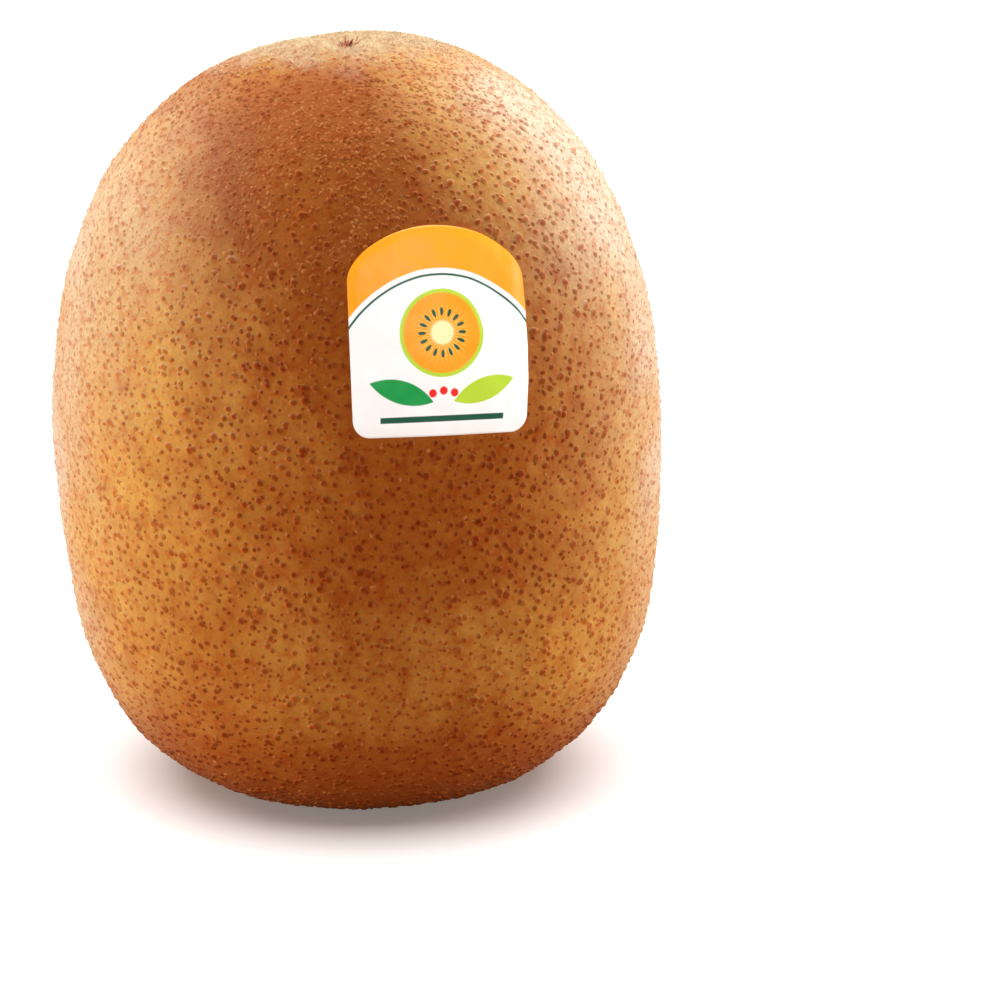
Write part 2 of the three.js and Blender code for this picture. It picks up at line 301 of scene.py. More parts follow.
def skin_frames(unit, form):
    """Skin place, right, up and outward normal at each direction, from differences 20 um apart."""
    side, rise = FRAME_STEP * np.array(tangents(unit))

    def change(step):
        return skin_points(normalised(unit + step), form) - skin_points(
            normalised(unit - step), form
        )

    right = normalised(change(side))
    normal = normalised(np.cross(right, change(rise)))
    return skin_points(unit, form), right, np.cross(normal, right), normal


def spread_directions(number, form, density, seed, jitter):
    """Seeded, even directions: a golden-angle spiral whose turns are spaced so that equal areas of
    skin hold equal numbers, moved at random by a share of their spacing. The density, from 0 to 1
    in each direction, is the chance that it is kept."""
    random = np.random.default_rng(seed)
    climb = np.linspace(-90.0, 90.0, 361)
    place, _, _, normal = skin_frames(
        unit_vector(*np.meshgrid(np.arange(0.0, 360.0, 15.0), climb)), form
    )
    outward = place - [0.0, 0.0, form.centre_height]
    distance = np.linalg.norm(outward, axis=-1)
    band = np.mean(distance**3 / np.sum(outward * normal, axis=-1), axis=1)
    held = np.cumsum(band * np.cos(np.radians(climb)))
    index = np.arange(number)
    height = np.interp((index + 0.5) / number, (held - held[0]) / (held[-1] - held[0]), climb)
    unit = unit_vector(index * math.degrees(math.pi * (3.0 - math.sqrt(5.0))), height)
    spacing = math.sqrt(4.0 * math.pi / number)
    unit = normalised(unit + random.normal(size=unit.shape) * jitter * spacing)
    return unit[random.uniform(size=number) < density(unit)]


# --- Colour masks that every piece of skin shares ---

# A band down the front is browned, and the same brown paints the shade that falls there between
# the side lights: its middle azimuth, how far from it in degrees the brown is gone and full, the
# elevations over which it comes in below the shoulder, and those over which it weakens low down,
# and by how much.
BAND_AZIMUTH = 10
BAND_FADE = (70, 10)
BAND_TOP = (72, 48)
BAND_LOW = (-6, -36)
BAND_LOW_LOSS = 0.48
# Browned patches of the skin: azimuth, elevation and reach in degrees, then how brown.
RUSSET_PATCHES = (
    (-16, 64, 17, 1.55),
    (-88, 66, 14, 0.50),
    (-42, -36, 19, 0.55),
    (31, 51, 13, -0.40),
    (-53, 42, 16, -0.35),
    (168, 30, 26, 0.50),
    (-150, -20, 24, 0.45),
    (128, -30, 20, 0.35),
)
# Pale patches in the same way, mostly a painted sheen where the side lights graze the flanks.
BLOOM_AND_SHEEN_PATCHES = (
    (-86, 34, 27, 0.72),
    (-88, -2, 21, 0.72),
    (-58, 50, 14, 0.15),
    (-96, -34, 22, 0.75),
    (81, 47, 19, 1.10),
    (75, 66, 12, 0.40),
    (88, 22, 23, 0.66),
    (88, -8, 23, 0.74),
    (100, -40, 22, 0.50),
    (150, 0, 24, 0.25),
)
BLOOM_AND_SHEEN_BACK = (84, 146)  # azimuths over which the pale patches give out towards the back
BLOOM_AND_SHEEN_BACK_LOSS = 0.65  # and how far they do
BLOOM_AND_SHEEN_BACK_TOP = (72, 55)  # elevations over which that loss comes in below the cap
SCURF_PATCHES = ((-20, 61, 18, 1.0), (-45, 51, 11, 0.4), (-2, 50, 9, 0.4), (170, 52, 16, 0.7))
HAIR_PATCHES = (
    (20, 55, 9, 0.8),
    (30, 1, 8, 0.9),
    (-64, 30, 14, 0.15),
    (120, 20, 20, 0.2),
    (-150, 30, 24, 0.2),
)
# The pale cap is dusty skin. Set behind the top, its edge also paints a sheen along the top's rim.
CAP_TOWARDS = (180, 81)  # azimuth and elevation of the pale cap's middle
CAP_ANGLE = (23, 11)  # degrees from its middle over which the skin turns pale
CAP_BLOOM_AND_SHEEN = 0.54  # how pale it gets
# Towards the stem end the skin is darker and redder: partly browning, partly painted shade where
# the fruit nears the ground.
STEM_ELEVATION = (-37, -55)  # degrees over which the skin browns towards the stem end
STEM_BROWN_AND_SHADE = 0.90  # how brown it gets


def pale_cap(unit, ragged=0.0):
    """How far each direction is on the pale cap, with its edge moved by ragged degrees."""
    along = np.clip(unit @ unit_vector(*CAP_TOWARDS), -1.0, 1.0)
    return smoothstep(*CAP_ANGLE, np.degrees(np.arccos(along)) - ragged)


def patches(unit, table):
    """Sum of soft patches, each given by azimuth, elevation, reach and weight."""
    total = np.zeros(unit.shape[:-1])
    for azimuth, elevation, reach, weight in table:
        total += weight * cap(unit, azimuth, elevation, reach)
    return total


def browned_and_shaded_band(unit, climb):
    """Brown and painted shade down the front, fading at the shoulder and weaker low down."""
    band = smoothstep(*BAND_FADE, np.abs(azimuth_of(unit) - BAND_AZIMUTH))
    band = band * smoothstep(*BAND_TOP, climb)
    return band * (1.0 - BAND_LOW_LOSS * smoothstep(*BAND_LOW, climb))


def skin_masks(unit):
    """How browned, how scurfy and how pale the skin is in each direction, each from 0 to 1:
    soft patches broken up by seeded waves. The brown also paints the shade down the front and at
    the stem end, and the pale also paints the sheen on the flanks and along the top's rim."""
    place = unit * WAVE_SPHERE
    broad = waves(place, 11.0 * MM, 11)
    fine = waves(place, 3.2 * MM, 12)
    climb = elevation_of(unit)
    stem = smoothstep(*STEM_ELEVATION, climb)
    # The brown mask is real browning plus painted shade in the front band and at the stem end.
    russet = browned_and_shaded_band(unit, climb) + patches(unit, RUSSET_PATCHES) + STEM_BROWN_AND_SHADE * stem
    russet = russet + 0.07 * broad + 0.06 * fine
    scurf = patches(unit, SCURF_PATCHES) * (1.0 + 0.25 * broad) + 0.10 * fine
    # Pale dusty cap whose edge also paints a sheen along the top's rim, then painted sheen on the
    # flanks that fades towards the back.
    bloom = CAP_BLOOM_AND_SHEEN * pale_cap(unit, 1.2 * broad + 1.2 * fine)
    loss = BLOOM_AND_SHEEN_BACK_LOSS * smoothstep(*BLOOM_AND_SHEEN_BACK, np.abs(azimuth_of(unit)) + 9.0 * broad)
    loss = loss * smoothstep(*BLOOM_AND_SHEEN_BACK_TOP, climb)
    bloom = bloom + patches(unit, BLOOM_AND_SHEEN_PATCHES) * (1.0 + 0.15 * broad) * (1.0 - loss)
    return np.clip(russet, 0, 1), np.clip(scurf, 0, 1), np.clip(bloom, 0, 1)


# --- Meshes ---


def mesh_object(name, points, faces, smooth=True):
    """A new mesh object from points and one or more arrays of faces, with a face in each row."""
    mesh = bpy.data.meshes.new(name)
    if isinstance(faces, np.ndarray):
        faces = [faces]
    corners = np.concatenate([part.reshape(-1) for part in faces])
    sizes = np.concatenate([np.full(len(part), part.shape[1]) for part in faces])
    mesh.vertices.add(len(points))
    mesh.vertices.foreach_set("co", np.asarray(points, np.float32).reshape(-1))
    mesh.loops.add(len(corners))
    mesh.loops.foreach_set("vertex_index", corners.astype(np.int32))
    mesh.polygons.add(len(sizes))
    starts = np.concatenate([[0], np.cumsum(sizes)[:-1]])
    mesh.polygons.foreach_set("loop_start", starts.astype(np.int32))
    mesh.update(calc_edges=True)
    mesh.validate()
    mesh.polygons.foreach_set("use_smooth", np.full(len(mesh.polygons), smooth))
    piece = bpy.data.objects.new(name, mesh)
    bpy.context.scene.collection.objects.link(piece)
    return piece


def set_attribute(piece, name, values):
    """Stores one number at each vertex under a name that a material can read."""
    attribute = piece.data.attributes.new(name, "FLOAT", "POINT")
    attribute.data.foreach_set("value", np.asarray(values, np.float32).reshape(-1))


def set_map(piece, name, places):
    """Gives the piece a UV map from one place per vertex."""
    layer = piece.data.uv_layers.new(name=name)
    corner = np.empty(len(piece.data.loops), np.int32)
    piece.data.loops.foreach_get("vertex_index", corner)
    layer.data.foreach_set("uv", np.asarray(places, np.float32)[corner].reshape(-1))


def set_skin_masks(piece, unit):
    """Stores the shared colour masks on a piece of skin."""
    for name, mask in zip(("russet", "scurf", "bloom"), skin_masks(unit)):
        set_attribute(piece, name, mask)


def round_pairs(number):
    """The places of a closed ring's points, and of the points that follow them."""
    column = np.arange(number)
    return column, (column + 1) % number


def fan(point, first, second):
    """Triangles from one point to pairs of a ring's points."""
    return np.stack([np.full(len(first), point), first, second], axis=-1)


def grid_faces(rows, columns, closed):
    """Quads of a grid of rows and columns of points, closed round its columns or left open."""
    row = np.arange(rows - 1)[:, None]
    column, following = round_pairs(columns)
    if not closed:
        column, following = column[:-1], following[:-1]
    low, high = row * columns, (row + 1) * columns
    quads = np.stack([low + column, low + following, high + following, high + column], axis=-1)
    return quads.reshape(-1, 4)


def belongs(piece, slot, *nodes):
    """Finishes a piece: it rides on the one body and may stand for CAD nodes, which it hides. Its
    slot is not used.
    """
    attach(piece, BODY)
    if nodes:
        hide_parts(*nodes)


# --- Node building ---


def node_sum(operation, swapped=False):
    """A method that adds one Math node, with its two values in turn or swapped."""

    def sum_of(self, other):
        values = (other, self) if swapped else (self, other)
        return self.nodes.math(operation, *values)

    return sum_of


class Value:
    """A socket that sums can be written with. Each sum adds one Math node."""

    def __init__(self, nodes, socket):
        self.nodes, self.socket = nodes, socket

    __add__, __sub__, __mul__ = node_sum("ADD"), node_sum("SUBTRACT"), node_sum("MULTIPLY")
    __pow__, __rsub__ = node_sum("POWER"), node_sum("SUBTRACT", swapped=True)


class Nodes:
    """Short calls for building a node tree. A Value or a plain number may be any input."""

    def __init__(self, tree):
        self.tree = tree

    def add(self, kind, inputs=None, output=0, **settings):
        """Adds a node, sets its properties, fills its inputs and gives one of its outputs."""
        node = self.tree.nodes.new(kind)
        for key, value in settings.items():
            setattr(node, key, value)
        for key, value in (inputs or {}).items():
            self.put(node.inputs[key], value)
        return Value(self, node.outputs[output]) if len(node.outputs) else node

    def put(self, socket, value):
        if isinstance(value, Value):
            self.tree.links.new(value.socket, socket)
        elif socket.type == "RGBA" and len(value) == 3:
            socket.default_value = (*value, 1.0)
        else:
            socket.default_value = value

    def math(self, operation, *values):
        return self.add("ShaderNodeMath", dict(enumerate(values)), operation=operation)

    def mix(self, factor, first, second, blend="MIX"):
        """Mixes two colours."""
        inputs = {0: factor, 6: first, 7: second}
        return self.add("ShaderNodeMix", inputs, 2, data_type="RGBA", blend_type=blend)

    def ramp(self, value, low, high, to_low=0.0, to_high=1.0):
        """Maps a value between two limits smoothly onto two others."""
        inputs = {0: value, 1: low, 2: high, 3: to_low, 4: to_high}
        return self.add("ShaderNodeMapRange", inputs, interpolation_type="SMOOTHSTEP")

    def noise(self, vector, scale, detail=2.0, roughness=0.5):
        inputs = {"Vector": vector, "Scale": scale, "Detail": detail, "Roughness": roughness}
        return self.add("ShaderNodeTexNoise", inputs)

    def cells(self, vector, scale, smoothness=0.6):
        inputs = {"Vector": vector, "Scale": scale, "Smoothness": smoothness}
        return self.add("ShaderNodeTexVoronoi", inputs, "Distance", feature="SMOOTH_F1")

    def object_place(self):
        return self.add("ShaderNodeTexCoord", output="Object")

    def camera_ray(self):
        return self.add("ShaderNodeLightPath", output="Is Camera Ray")

    def bump(self, strength, distance, height):
        inputs = {"Strength": strength, "Distance": distance, "Height": height}
        return self.add("ShaderNodeBump", inputs)

    def principled(self, **inputs):
        """Ends the tree in a Principled shader, whose inputs are named with underscores."""
        inputs = {name.replace("_", " "): value for name, value in inputs.items()}
        self.surface(self.add("ShaderNodeBsdfPrincipled", inputs))

    def surface(self, shader, output="ShaderNodeOutputMaterial"):
        self.add(output, {"Surface": shader})

    def hypot(self, across, along):
        return self.math("SQRT", across**2.0 + along**2.0)


def new_group(name, inputs, outputs):
    """A shader node group with named sockets. Returns its tree, its nodes and its inputs."""
    tree = bpy.data.node_groups.new(name, "ShaderNodeTree")
    for direction, table in (("INPUT", inputs), ("OUTPUT", outputs)):
        for socket, kind in table.items():
            tree.interface.new_socket(socket, in_out=direction, socket_type=f"NodeSocket{kind}")
    nodes = Nodes(tree)
    given = tree.nodes.new("NodeGroupInput").outputs
    return tree, nodes, {socket: Value(nodes, given[socket]) for socket in inputs}


SKIN_MASKS = ("Russet", "Scurf", "Bloom", "Speck", "Tone", "Crest")
SKIN_COLOURS = ("Gold", "Ochre", "Russet", "Bloom", "Speck", "Stain", "Flake")


def skin_group():
    """The skin's look, shared by the bare skin and the papules on it.

    Gold and ochre mix by broad noise; brown covers them by its mask, partly real browning and
    partly painted shade down the front and at the stem end; scurf grains them; the pale colour
    pales them, partly dusty skin on the cap and partly painted sheen on the flanks and along the
    top's rim; and specks darken them. Each papule's upper rim gets a painted highlight. Height is
    the fine grain of the surface.
    """
    inputs = {"Place": "Vector", **dict.fromkeys(SKIN_MASKS, "Float")}
    inputs.update({f"{name} Colour": "Color" for name in SKIN_COLOURS})
    outputs = {"Colour": "Color", "Roughness": "Float", "Height": "Float"}
    tree, nodes, given = new_group("Kiwi Skin", inputs, outputs)
    place, russet, scurf, bloom, speck, tone, crest, *colours = given.values()
    gold, ochre, brown, pale, speckled, stained, flake_and_highlight_tint = colours
    mix, ramp = nodes.mix, nodes.ramp

    broad = nodes.noise(place, 210.0, 3.0)
    stain = nodes.noise(place, 620.0, 3.0, 0.55)
    grain = nodes.noise(place, 3600.0, 2.0, 0.6)
    freckle = nodes.cells(place, 1500.0)

    depth = ramp(broad, 0.38, 0.64) + ramp(stain, 0.42, 0.70, 0.0, 0.55)
    colour = mix(nodes.math("MINIMUM", depth, 1.0), gold, ochre)
    # Brown covers the gold: real browning, and painted shade down the front and at the stem end.
    browned = russet + (stain - 0.5) * 0.55 * russet
    colour = mix(nodes.math("MAXIMUM", browned, 0.0), colour, brown)

    scurfy = scurf * ramp(grain, 0.40, 0.66, 0.35, 1.0)
    colour = mix(scurfy * 0.75, colour, brown)
    crumb = ramp(nodes.cells(place, 2600.0), 0.34, 0.10, 0.0, 0.6)
    colour = mix(crumb * scurf, colour, flake_and_highlight_tint)

    # Pales the cap's dusty skin and paints the sheen on the flanks and along the top's rim.
    pale_and_sheen_share = bloom * ramp(grain, 0.30, 0.62, 0.70, 1.0)
    colour = mix(pale_and_sheen_share * 0.92, colour, pale)

    blotch = ramp(nodes.noise(place, 1150.0, 2.0), 0.47, 0.68, 0.0, 0.42)
    dust = ramp(freckle, 0.28, 0.06) * ramp(stain, 0.5, 0.7, 0.15, 0.50)
    dust = nodes.math("MAXIMUM", dust, blotch)
    colour = mix(dust, colour, mix(1.0, colour, speckled, "MULTIPLY"))
    grained = ramp(grain, 0.3, 0.7, 0.90, 1.08)
    shaded = nodes.add("ShaderNodeCombineXYZ", {0: grained, 1: grained, 2: grained})
    colour = mix(1.0, colour, shaded, "MULTIPLY")

    # Hearts take the darker stain on the brown mask, which also darkens them in the painted shade.
    heart = mix(1.0, colour, mix(russet, speckled, stained), "MULTIPLY")
    heart = mix(tone, heart, flake_and_highlight_tint)
    # A painted highlight on each papule's upper rim: the pale colour on clear skin, the flake
    # colour on brown.
    highlight_share = ramp(russet, 0.0, 1.0, 0.65, 0.90)
    rim = mix(crest * highlight_share, colour, mix(russet, pale, flake_and_highlight_tint))
    colour = mix(speck, rim, heart)

    matt = ramp(grain, 0.3, 0.7, 0.44, 0.56) + bloom * 0.16 + scurf * 0.30
    height = grain * 0.35 + (1.0 - freckle) * 0.5 + stain * 0.4
    nodes.add("NodeGroupOutput", {"Colour": colour, "Roughness": matt, "Height": height})
    return tree


def new_material(name):
    material = bpy.data.materials.new(name)
    material.use_nodes = True
    material.node_tree.nodes.clear()
    return material, Nodes(material.node_tree)


def skin_material(name, gloss, sheen):
    """Waxy leathery skin: the shared skin group under a soft sheen, with its grain as bump."""
    look = bpy.context.scene.kiwi_skin
    material, nodes = new_material(name)
    group = nodes.tree.nodes.new("ShaderNodeGroup")
    group.node_tree = bpy.data.node_groups.get("Kiwi Skin") or skin_group()
    nodes.put(group.inputs["Place"], nodes.object_place())
    for mask in SKIN_MASKS:
        stored = nodes.add("ShaderNodeAttribute", output="Fac", attribute_name=mask.lower())
        nodes.put(group.inputs[mask], stored)
    for tint in SKIN_COLOURS:
        nodes.put(group.inputs[f"{tint} Colour"], tuple(getattr(look, tint.lower())))
    colour, roughness, height = (Value(nodes, socket) for socket in group.outputs)
    nodes.principled(
        Base_Color=colour,
        Roughness=roughness,
        Normal=nodes.bump(0.55, 0.06 * MM, height),
        Specular_IOR_Level=gloss,
        Specular_Tint=(1.0, 0.74, 0.50),
        Sheen_Weight=sheen,
        Sheen_Roughness=0.30,
        Sheen_Tint=(1.0, 0.84, 0.66),
    )
    return material


# --- The skin ---

STEM_STAIN = 0.30  # how far the skin at the stem end takes on the papules' stain
STEM_STAIN_ELEVATION = (-42, -58)  # degrees over which it does
SCURF_STAIN = 0.18  # and the same under scurf
SKIN_GLOSS = 0.06
SKIN_SHEEN = 0.05
SKIN_ROWS = 236
SKIN_COLUMNS = 400


def skin_directions():
    """Directions of the skin's grid: rows from the stem end to the blossom end, spaced evenly by
    angle, and columns once round, with one point at each end."""
    climb = np.linspace(-90.0, 90.0, SKIN_ROWS + 2)[1:-1]
    turn = np.arange(SKIN_COLUMNS) * 360.0 / SKIN_COLUMNS
    grid = unit_vector(*np.meshgrid(turn, climb)).reshape(-1, 3)
    return np.concatenate([grid, [-UP, UP]])


class KIWI_OT_skin(bpy.types.Operator):
    """Make the fruit's skin as one closed surface"""

    bl_idname = "kiwi.skin"
    bl_label = "Skin"

    def execute(self, context):
        form = context.scene.kiwi_form
        unit = skin_directions()
        quads = grid_faces(SKIN_ROWS, SKIN_COLUMNS, closed=True)
        column, following = round_pairs(SKIN_COLUMNS)
        last = (SKIN_ROWS - 1) * SKIN_COLUMNS
        low_fan = fan(len(unit) - 2, following, column)
        high_fan = fan(len(unit) - 1, last + column, last + following)
        piece = mesh_object("fruit_skin", skin_points(unit, form), [quads, low_fan, high_fan])
        set_skin_masks(piece, unit)
        stem = smoothstep(*STEM_STAIN_ELEVATION, elevation_of(unit))
        _, scurf, _ = skin_masks(unit)
        set_attribute(piece, "speck", STEM_STAIN * stem + SCURF_STAIN * scurf)
        for name in ("tone", "crest"):
            set_attribute(piece, name, np.zeros(len(unit)))
        piece.data.materials.append(skin_material("kiwi_skin", SKIN_GLOSS, SKIN_SHEEN))
        belongs(piece, "skin", "fruit")
        return {"FINISHED"}


# --- The label's place, which the papules keep clear of ---

LABEL_AZIMUTH = 18.2
LABEL_ELEVATION = 31.6
LABEL_ROLL = math.radians(-5.2)
LABEL_ARCH = 4.4 * MM
LABEL_CORNER = 1.45 * MM
LABEL_THICKNESS = 0.10 * MM
LABEL_GAP = 0.14 * MM
LABEL_RIM_GAP = 0.04 * MM
LABEL_PRESS = 1.0 * MM  # how far in from its rim the film is pressed down
LABEL_MARGIN = 0.05 * MM
LABEL_STEP = 1e-3  # the small turn, in radians, over which the slope under its middle is taken


def label_plane(form):
    """The plane that touches the fruit at the label's middle: its middle, right, up and outward
    normal in the fruit's own frame, turned by the label's roll."""
    unit = unit_vector(LABEL_AZIMUTH, LABEL_ELEVATION)
    side, rise = LABEL_STEP * np.array(tangents(unit))

    def at(vector):
        turned = normalised(vector)
        return turned * reach_along(turned, form)

    across = normalised(at(unit + side) - at(unit - side))
    normal = normalised(np.cross(across, at(unit + rise) - at(unit - rise)))
    up = np.cross(normal, across)
    cos, sin = math.cos(LABEL_ROLL), math.sin(LABEL_ROLL)
    return at(unit), across * cos + up * sin, up * cos - across * sin, normal


def label_directions(x, y, form):
    """Directions from the fruit's centre that flat label places cover, wrapped by its radius."""
    middle, right, up, _ = label_plane(form)
    bend = np.linalg.norm(middle)
    flat_x, flat_y = bend * np.tan(x / bend), bend * np.tan(y / bend)
    return normalised(middle + flat_x[..., None] * right + flat_y[..., None] * up)


def label_places(unit, form):
    """Flat label x and y of directions from the fruit's centre, far off where they face away."""
    middle, right, up, normal = label_plane(form)
    bend = np.linalg.norm(middle)
    facing = unit @ normal
    distance = (middle @ normal) / np.maximum(facing, 0.05)
    offset = unit * distance[..., None] - middle
    x, y = bend * np.arctan(offset @ right / bend), bend * np.arctan(offset @ up / bend)
    return np.where(facing > 0.05, x, 1.0), np.where(facing > 0.05, y, 1.0)


def label_span(x, label):
    """Lowest and highest flat y of the label at a flat x: round lower corners, an arched top."""
    half = label.width / 2
    into_corner = np.maximum(0.0, np.abs(x) - (half - LABEL_CORNER))
    corner = LABEL_CORNER - np.sqrt(np.maximum(0.0, LABEL_CORNER**2 - into_corner**2))
    arch = LABEL_ARCH * (1.0 - np.sqrt(np.maximum(0.0, 1.0 - (x / half) ** 2)))
    return corner - label.height / 2, label.height / 2 - arch


def clear_of_label(unit, radius, scene):
    """Whether a papule of some radius in each direction stays outside the label's outline."""
    label = scene.kiwi_label
    x, y = label_places(unit, scene.kiwi_form)
    low, high = label_span(np.clip(x, -label.width / 2, label.width / 2), label)
    grown = radius + LABEL_MARGIN
    return (np.abs(x) > label.width / 2 + grown) | (y < low - grown) | (y > high + grown)


# --- The papules ---

PAPULE_SINK = 0.012 * MM  # the rim of a papule goes this far under the skin
PAPULE_TALLEST = 0.125 * MM
# On the flanks the hearts fade, a painted sheen that veils them there.
SHEEN_FADED_PATCHES = ((100, 5, 26, 0.35), (-102, 10, 26, 0.35))  # where their hearts are faint
# Strength of the painted highlight on the upper side of each papule's rim.
RIM_HIGHLIGHT = 1.75  # how pale a papule's upper rim is
PAPULE_GLOSS = 0.04
# What the masks do to a papule's size, height and heart, as shares of them.
SCURF_SHRINKS = 0.25
SCURF_FLATTENS = 0.30
RUSSET_SWELLS = 0.08
BLOOM_SHRINKS = 0.18
BLOOM_AND_SHEEN_FADES = 0.20
LONG_PATCH = (48, 38, 26)  # where papules are longer: azimuth, elevation and reach in degrees
PAIR_GAP = 0.0155  # from a papule to the smaller one beside it, as a share of the fruit's reach


def papule_layout(rings, sides):
    """Flat places and faces of one papule: a middle point and rings of points round it."""
    turn = np.arange(sides) * 2.0 * math.pi / sides
    radius = np.array(rings)[:, None]
    turn = turn + (np.arange(len(rings)) % 2 * math.pi / sides)[:, None]
    flat = np.stack([radius * np.cos(turn), radius * np.sin(turn)], axis=-1).reshape(-1, 2)
    column, following = round_pairs(sides)
    faces = [fan(0, 1 + column, 1 + following)]
    for ring in range(1, len(rings)):
        inner, outer = 1 + (ring - 1) * sides, 1 + ring * sides
        near, far = inner + column, inner + following
        low, high = outer + column, outer + following
        # Every other ring is turned by half a side, so its quads are cut the other way.
        odd = (near, low, far), (low, high, far)
        even = (near, high, far), (near, low, high)
        faces += [np.stack(corners, axis=-1) for corners in (odd if ring % 2 else even)]
    return np.concatenate([[[0.0, 0.0]], flat]), np.concatenate(faces)


def beside(unit, x, y, right, up, form):
    """Directions of the places that lie x to the right of each direction's skin and y up it."""
    centre = unit * (reach_along(unit, form) + dents(unit))[:, None]
    cos, sin = math.cos(form.lean), math.sin(form.lean)
    unlean = np.array([[cos, 0.0, -sin], [0.0, 1.0, 0.0], [sin, 0.0, cos]])
    back = np.stack([right, up], axis=1) @ unlean
    spots = centre[:, None, :] + x[..., None] * back[:, None, 0] + y[..., None] * back[:, None, 1]
    return normalised(spots)


def strew(
    name, unit, radii, rings, sides, seed, scene,
    tones=(0.0, 0.1), longer=(1.0, 0.06), heart=0.62, depth=1.0, hidden=0.4,
):
    """Low round domes on the skin at the given directions, each with a darker or paler heart.

    A dome's height at a share r of its radius is h * (1 - r^3), so its top is flat and its rim
    steep, and its foot goes under the skin. Its heart is as deep in colour as exp(-(r / heart)^3)
    times depth, with a halo round it, both wider where the brown mask, partly painted shade, is
    high. Scurf takes the hidden share of it, and it fades under the painted sheen of the flanks
    and on the pale cap. The rim's upper side, towards the blossom end, carries a painted highlight
    that is stronger higher up the fruit. Each is stretched and turned at random in the skin's own
    plane.
    """
    form = scene.kiwi_form
    random = np.random.default_rng(seed)
    russet, scurf, bloom = skin_masks(unit)
    stout = cap(unit, *LONG_PATCH)
    size = random.uniform(*radii, len(unit)) * MM * (1.0 + 0.06 * stout)
    size = size * (1.0 - SCURF_SHRINKS * scurf)
    size = size * (1.0 + RUSSET_SWELLS * russet - BLOOM_SHRINKS * bloom)
    stretch = longer[0] + random.gamma(1.3, longer[1] + 0.12 * stout)
    place, right, up, normal = skin_frames(unit, form)
    kept = (place[:, 2] > REST_CLEARANCE) & clear_of_label(unit, size * stretch, scene)
    kept &= reach_along(unit, form) * np.hypot(unit[:, 0], unit[:, 1]) > 0.6 * CUP_RADIUS
    unit, size, stretch, right, up, normal, russet, scurf, bloom = (
        values[kept] for values in (unit, size, stretch, right, up, normal, russet, scurf, bloom)
    )
    russet = russet[:, None]

    flat, faces = papule_layout(rings, sides)
    total = len(unit)
    turn = random.normal(-0.6, 0.8, total)
    cos, sin = np.cos(turn)[:, None], np.sin(turn)[:, None]
    wobble = 1.0 + 0.12 * random.normal(size=(total, len(flat)))
    long = flat[None, :, 0] * (size * stretch)[:, None] * wobble
    wide = flat[None, :, 1] * (size / np.sqrt(stretch))[:, None] * wobble
    x, y = long * cos - wide * sin, long * sin + wide * cos
    direction = beside(unit, x, y, right, up, form)

    ring = np.hypot(flat[:, 0], flat[:, 1])[None, :]
    foot = np.max(rings)
    height = 2.0 * size * scene.kiwi_papules.rise * random.uniform(0.7, 1.1, total)
    height = np.minimum(height, PAPULE_TALLEST) * (1.0 - SCURF_FLATTENS * scurf)
    lift = height[:, None] * np.maximum(0.0, 1.0 - ring**3) - PAPULE_SINK * (ring >= foot)
    points = skin_points(direction, form) + lift[..., None] * normal[:, None, :]
    shift = (np.arange(total) * len(flat))[:, None, None]
    piece = mesh_object(name, points.reshape(-1, 3), (faces[None] + shift).reshape(-1, 3))

    set_skin_masks(piece, direction.reshape(-1, 3))
    strength = depth * random.uniform(0.75, 1.0, total) * (1.0 - hidden * scurf)
    strength = strength * (0.75 + 0.25 * smoothstep(0.12, 0.28, size / MM))
    # Hearts fade under the painted sheen of the flanks and on the pale cap.
    strength = strength * (1.0 - BLOOM_AND_SHEEN_FADES * bloom - patches(unit, SHEEN_FADED_PATCHES))
    halo = np.maximum(0.0, 1.0 - (ring / foot) ** 2)
    core = np.exp(-((ring / (heart + 0.12 * russet)) ** 3))
    haze = 0.12 + 0.12 * russet
    set_attribute(piece, "speck", strength[:, None] * ((1.0 - haze) * core + haze * halo))
    set_attribute(piece, "tone", np.repeat(random.uniform(*tones, total), len(flat)))
    # Painted highlight on each rim's upper side, towards the blossom end, stronger higher up the
    # fruit.
    upper = smoothstep(-0.2, 0.8, y / np.maximum(np.hypot(x, y), 1e-9))
    climb = elevation_of(unit)[:, None]
    shine = RIM_HIGHLIGHT * (0.25 + 0.75 * smoothstep(-15, 45, climb)) * (1.0 - 0.3 * russet)
    set_attribute(piece, "crest", shine * upper * np.exp(-(((ring - 1.05) / 0.20) ** 2)))

    # Each dome has a small square of the map to itself.
    across = math.ceil(math.sqrt(total))
    cell = np.stack([np.arange(total) % across, np.arange(total) // across], axis=-1)
    inner = flat / (2.3 * foot) + 0.5
    set_map(piece, "OFBake", ((cell[:, None] + inner[None]) / across).reshape(-1, 2))
    material = bpy.data.materials.get("kiwi_papule")
    piece.data.materials.append(material or skin_material("kiwi_papule", PAPULE_GLOSS, 0.0))
    belongs(piece, "skin")


def papule_density(unit):
    """Papules are fewer where scurf and the pale cap take their place."""
    _, scurf, _ = skin_masks(unit)
    return np.clip(1.0 - 0.35 * scurf - 0.45 * pale_cap(unit), 0.1, 1.0)


def scurf_density(unit):
    """Flakes of scurf crowd the browned shoulders and the foot of the pale cap."""
    _, scurf, _ = skin_masks(unit)
    collar = np.exp(-(((elevation_of(unit) - 70.0) / 8.0) ** 2))
    return np.clip(0.012 + scurf**1.3 + 0.6 * collar, 0.0, 1.0)


